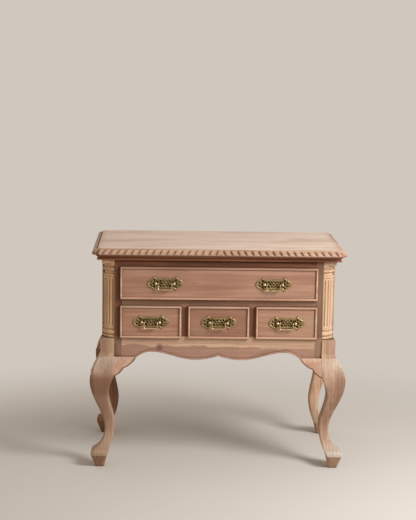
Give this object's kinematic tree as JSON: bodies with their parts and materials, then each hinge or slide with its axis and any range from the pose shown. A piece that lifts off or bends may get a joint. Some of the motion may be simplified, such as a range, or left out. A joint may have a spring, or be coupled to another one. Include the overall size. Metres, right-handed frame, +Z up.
{
  "type": "chest of drawers",
  "caption": "Low chest of drawers on cabriole legs, with lipped drawers, swinging bail pulls, fluted quarter columns, a shaped apron and a gadrooned front edge.",
  "frame": {"origin": "on the floor, under the middle of the chest", "axes": "+X to the right as seen from the front, +Y to the back, +Z up"},
  "size_m": [0.914, 0.498, 0.795],
  "materials": {
    "top": "pale stripped walnut, rubbed with wax",
    "moulding": "pale stripped walnut, darker in the hollows",
    "frame": "stripped walnut, wax finish",
    "panel": "stripped walnut boards, wax finish",
    "back": "plain unfinished boards",
    "column": "pale turned walnut sapwood, wax finish",
    "plinth": "stripped walnut, wax finish",
    "apron": "stripped walnut with a band of sapwood, wax finish",
    "leg": "pale stripped walnut, wax finish",
    "drawer_front": "pinkish stripped walnut, wax finish",
    "lining": "planed oak, unfinished",
    "brass": "antique brass, lightly tarnished"
  },
  "bodies": {
    "carcase": {"apron": "apron", "back_panel": "back", "bed_moulding": "moulding", "drawer_dividers": "frame", "drawer_guides": "lining", "drawer_kickers": "lining", "drawer_runners": "lining", "dust_panel": "lining", "front_post_left": "frame", "front_post_right": "frame", "gadroon_edge": "top", "knee_block_front_left": "leg", "knee_block_front_right": "leg", "leg_front_left": "leg", "leg_front_right": "leg", "leg_rear_left": "leg", "leg_rear_right": "leg", "middle_rail": "frame", "plinth_block_left": "plinth", "plinth_block_right": "plinth", "quarter_column_left": "column", "quarter_column_right": "column", "rear_post_left": "frame", "rear_post_right": "frame", "side_knee_blocks_left": "leg", "side_knee_blocks_right": "leg", "side_panel_left": "panel", "side_panel_right": "panel", "top_board": "top", "top_rail": "frame"},
    "wide_drawer": {"wide_drawer_front": "drawer_front", "wide_drawer_sides": "lining", "wide_drawer_back": "lining", "wide_drawer_bottom": "lining", "wide_pull_bolts": "brass", "wide_left_backplate": "brass", "wide_right_backplate": "brass"},
    "wide_left_bail": {"wide_left_bail": "brass"},
    "wide_right_bail": {"wide_right_bail": "brass"},
    "left_drawer": {"left_drawer_front": "drawer_front", "left_drawer_sides": "lining", "left_drawer_back": "lining", "left_drawer_bottom": "lining", "left_pull_bolts": "brass", "left_backplate": "brass"},
    "left_bail": {"left_bail": "brass"},
    "centre_drawer": {"centre_drawer_front": "drawer_front", "centre_drawer_sides": "lining", "centre_drawer_back": "lining", "centre_drawer_bottom": "lining", "centre_pull_bolts": "brass", "centre_backplate": "brass"},
    "centre_bail": {"centre_bail": "brass"},
    "right_drawer": {"right_drawer_front": "drawer_front", "right_drawer_sides": "lining", "right_drawer_back": "lining", "right_drawer_bottom": "lining", "right_pull_bolts": "brass", "right_backplate": "brass"},
    "right_bail": {"right_bail": "brass"}
  },
  "joints": [
    {"name": "wide_drawer_slide", "type": "slide", "parent": "carcase", "child": "wide_drawer", "axis": [0, -1, 0], "range_m": [0, 0.3]},
    {"name": "left_drawer_slide", "type": "slide", "parent": "carcase", "child": "left_drawer", "axis": [0, -1, 0], "range_m": [0, 0.3]},
    {"name": "centre_drawer_slide", "type": "slide", "parent": "carcase", "child": "centre_drawer", "axis": [0, -1, 0], "range_m": [0, 0.3]},
    {"name": "right_drawer_slide", "type": "slide", "parent": "carcase", "child": "right_drawer", "axis": [0, -1, 0], "range_m": [0, 0.3]},
    {"name": "wide_left_bail_hinge", "type": "hinge", "parent": "wide_drawer", "child": "wide_left_bail", "pos_m": [-0.192, -0.2273, 0.67125], "axis": [-1, 0, 0], "range_deg": [-18, 150]},
    {"name": "wide_right_bail_hinge", "type": "hinge", "parent": "wide_drawer", "child": "wide_right_bail", "pos_m": [0.192, -0.2273, 0.67125], "axis": [-1, 0, 0], "range_deg": [-18, 150]},
    {"name": "left_bail_hinge", "type": "hinge", "parent": "left_drawer", "child": "left_bail", "pos_m": [-0.24167, -0.2273, 0.53125], "axis": [-1, 0, 0], "range_deg": [-18, 150]},
    {"name": "centre_bail_hinge", "type": "hinge", "parent": "centre_drawer", "child": "centre_bail", "pos_m": [0, -0.2273, 0.53125], "axis": [-1, 0, 0], "range_deg": [-18, 150]},
    {"name": "right_bail_hinge", "type": "hinge", "parent": "right_drawer", "child": "right_bail", "pos_m": [0.24167, -0.2273, 0.53125], "axis": [-1, 0, 0], "range_deg": [-18, 150]}
  ]
}
